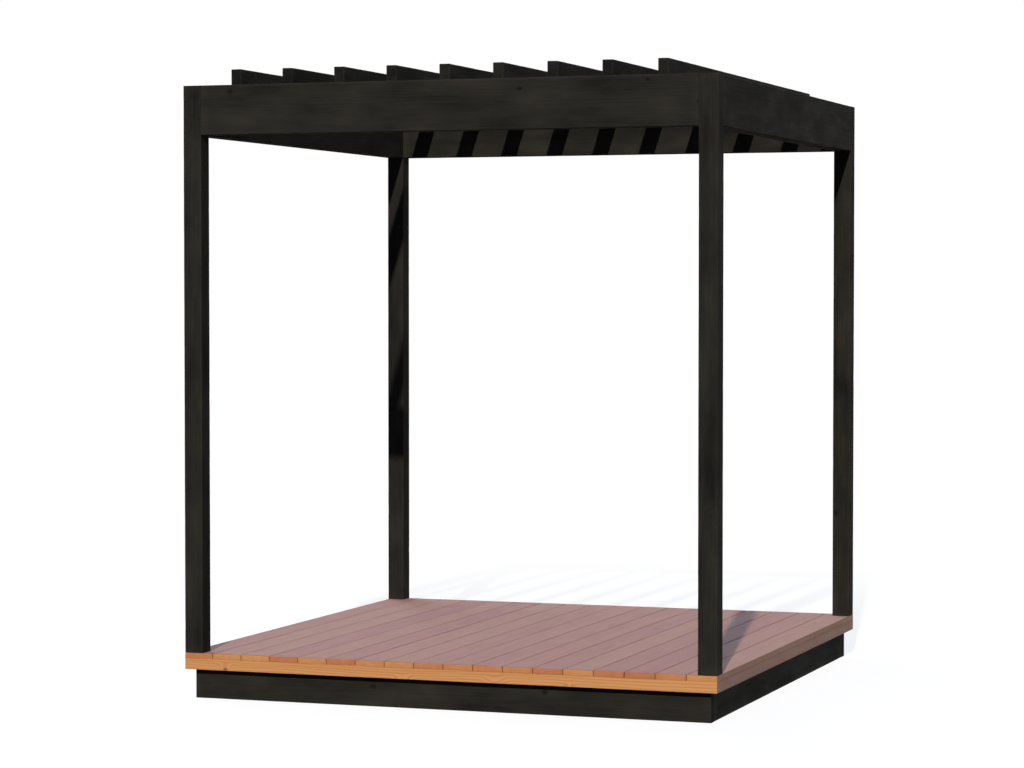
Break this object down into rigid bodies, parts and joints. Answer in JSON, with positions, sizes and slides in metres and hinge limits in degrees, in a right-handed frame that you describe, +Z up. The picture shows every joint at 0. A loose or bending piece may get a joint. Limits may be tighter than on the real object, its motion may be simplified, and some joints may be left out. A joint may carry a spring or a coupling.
{
  "type": "wooden pergola",
  "caption": "Open pergola of black-stained square posts, deep perimeter beams and proud notched rafters, standing on a raised larch deck with a recessed dark plinth.",
  "frame": {"origin": "centre of the footprint on the ground, under the middle of the deck", "axes": "+Z up, +X to the right along the front, +Y to the back along the deck boards"},
  "size_m": [2.301, 2.36, 2.617],
  "materials": {
    "black_stained_spruce": "planed, black translucent stain, satin",
    "oiled_larch": "planed and oiled, lightly greyed on top",
    "planed_spruce": "planed, uncoated"
  },
  "bodies": {
    "root": {"front_left_post": "black_stained_spruce", "front_right_post": "black_stained_spruce", "back_left_post": "black_stained_spruce", "back_right_post": "black_stained_spruce", "front_beam": "black_stained_spruce", "back_beam": "black_stained_spruce", "left_beam": "black_stained_spruce", "right_beam": "black_stained_spruce", "rafter_1": "black_stained_spruce", "rafter_2": "black_stained_spruce", "rafter_3": "black_stained_spruce", "rafter_4": "black_stained_spruce", "rafter_5": "black_stained_spruce", "rafter_6": "black_stained_spruce", "rafter_7": "black_stained_spruce", "rafter_8": "black_stained_spruce", "rafter_9": "black_stained_spruce", "deck_boards": "oiled_larch", "front_edge_board": "oiled_larch", "back_edge_board": "oiled_larch", "left_edge_board": "oiled_larch", "right_edge_board": "oiled_larch", "deck_joist_1": "planed_spruce", "deck_joist_2": "planed_spruce", "deck_joist_3": "planed_spruce", "front_plinth_board": "black_stained_spruce", "back_plinth_board": "black_stained_spruce", "left_plinth_board": "black_stained_spruce", "right_plinth_board": "black_stained_spruce", "plinth_bearer_1": "planed_spruce", "plinth_bearer_2": "planed_spruce"}
  },
  "joints": []
}
